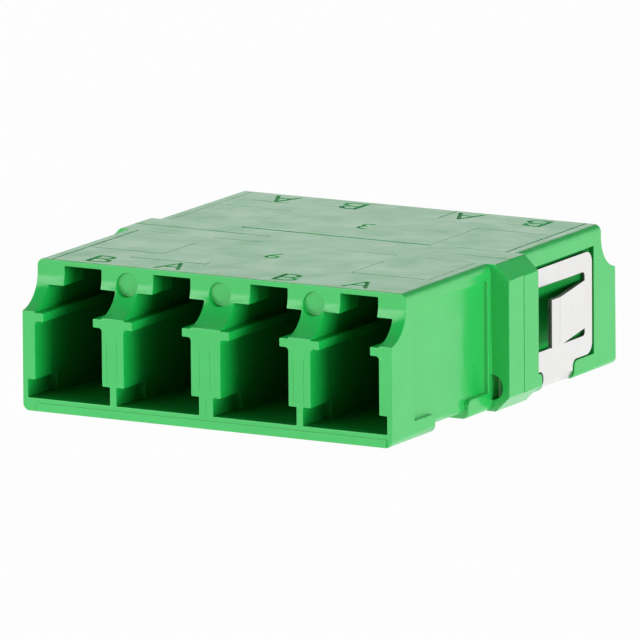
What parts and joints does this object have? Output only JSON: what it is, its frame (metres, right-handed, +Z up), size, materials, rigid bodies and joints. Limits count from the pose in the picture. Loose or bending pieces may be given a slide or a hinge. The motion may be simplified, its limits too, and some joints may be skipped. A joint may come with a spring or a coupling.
{
  "type": "lc fibre adapter",
  "caption": "Flat rectangular fibre optic adapter with rows of square latch ports at both ends, a narrow mid flange and a folded steel clip with spring tabs.",
  "frame": {"origin": "middle of the base, under the weld seam between the two halves", "axes": "+X across the row of ports, +Y from the front ports to the rear ports, +Z up"},
  "size_m": [0.0286, 0.0292, 0.0092],
  "materials": {
    "housing_plastic": "fine moulded, satin gloss",
    "clip_steel": "bright rolled stainless sheet",
    "sleeve_ceramic": "polished white ceramic"
  },
  "bodies": {
    "root": {"front_housing": "housing_plastic", "rear_housing": "housing_plastic", "mounting_clip": "clip_steel", "split_sleeve_1": "sleeve_ceramic", "split_sleeve_2": "sleeve_ceramic", "split_sleeve_3": "sleeve_ceramic", "split_sleeve_4": "sleeve_ceramic"}
  },
  "joints": []
}
